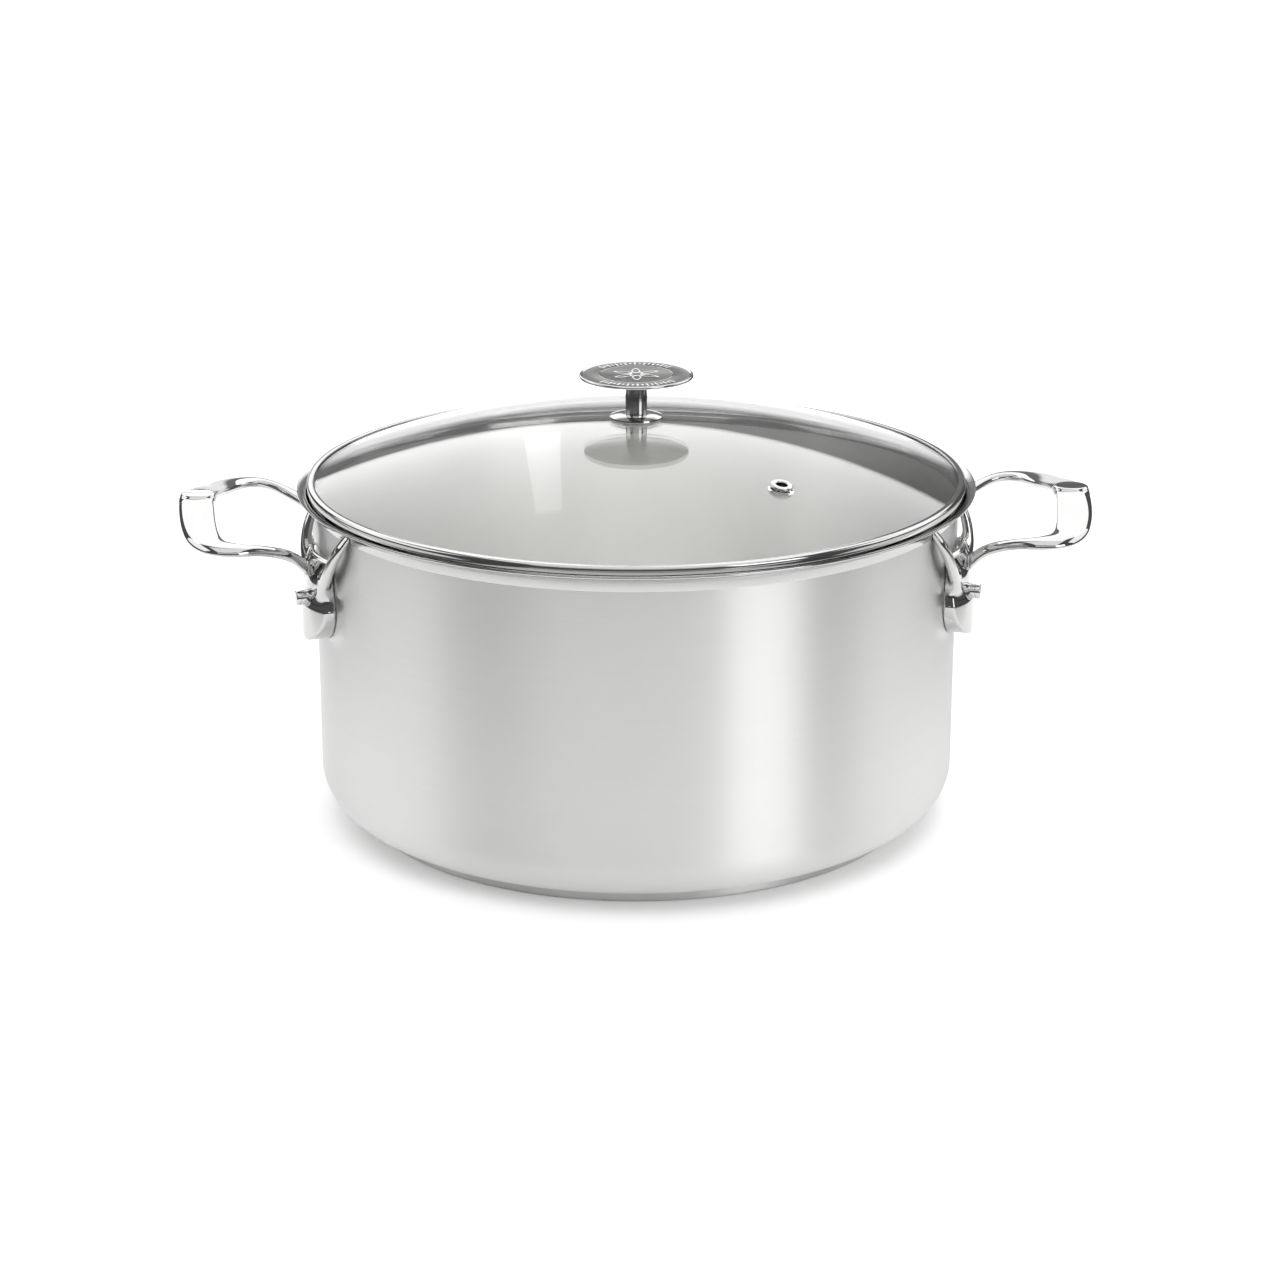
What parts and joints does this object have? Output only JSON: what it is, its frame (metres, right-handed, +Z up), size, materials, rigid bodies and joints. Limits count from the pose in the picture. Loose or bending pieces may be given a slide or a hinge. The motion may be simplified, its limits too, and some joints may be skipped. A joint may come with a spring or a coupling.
{
  "type": "stock pot",
  "caption": "Wide stainless stock pot with a flared rim, sandwich base, riveted cast loop handles and a lift-off domed glass lid with a flat round knob.",
  "frame": {"origin": "centre of the underside of the base, on the surface the pot stands on", "axes": "+Z up along the pot's axis; +X through the right-hand handle; +Y away from the viewer, towards the rear"},
  "size_m": [0.4012, 0.2966, 0.1964],
  "materials": {
    "satin_steel": "satin, brushed round the pot",
    "base_steel": "satin, turned",
    "aluminium_core": "as cast",
    "polished_casting": "mirror polished stainless casting",
    "rivet_steel": "polished",
    "clear_glass": "clear tempered",
    "band_steel": "polished",
    "polished_steel": "polished",
    "knob_steel": "satin top with polished rim",
    "screw_steel": "plain",
    "silicone": "matt, translucent grey"
  },
  "bodies": {
    "pot": {"pot_body": "satin_steel", "pot_rim": "satin_steel", "base_core": "aluminium_core", "base_cap": "base_steel", "handle_left": "polished_casting", "handle_right": "polished_casting", "rivet_left_front": "rivet_steel", "rivet_left_rear": "rivet_steel", "rivet_right_front": "rivet_steel", "rivet_right_rear": "rivet_steel"},
    "lid": {"lid_glass": "clear_glass", "lid_rim_band": "band_steel", "vent_eyelet": "polished_steel", "vent_gasket": "silicone", "vent_washer": "polished_steel", "knob_disc": "knob_steel", "knob_stem": "polished_steel", "knob_collar": "polished_steel", "knob_upper_gasket": "silicone", "knob_lower_gasket": "silicone", "knob_lower_washer": "polished_steel", "knob_spring_washer": "screw_steel", "knob_screw": "screw_steel"}
  },
  "joints": [
    {"name": "lid_lift", "type": "slide", "parent": "pot", "child": "lid", "axis": [0, 0, 1], "range_m": [0, 0.15]}
  ]
}
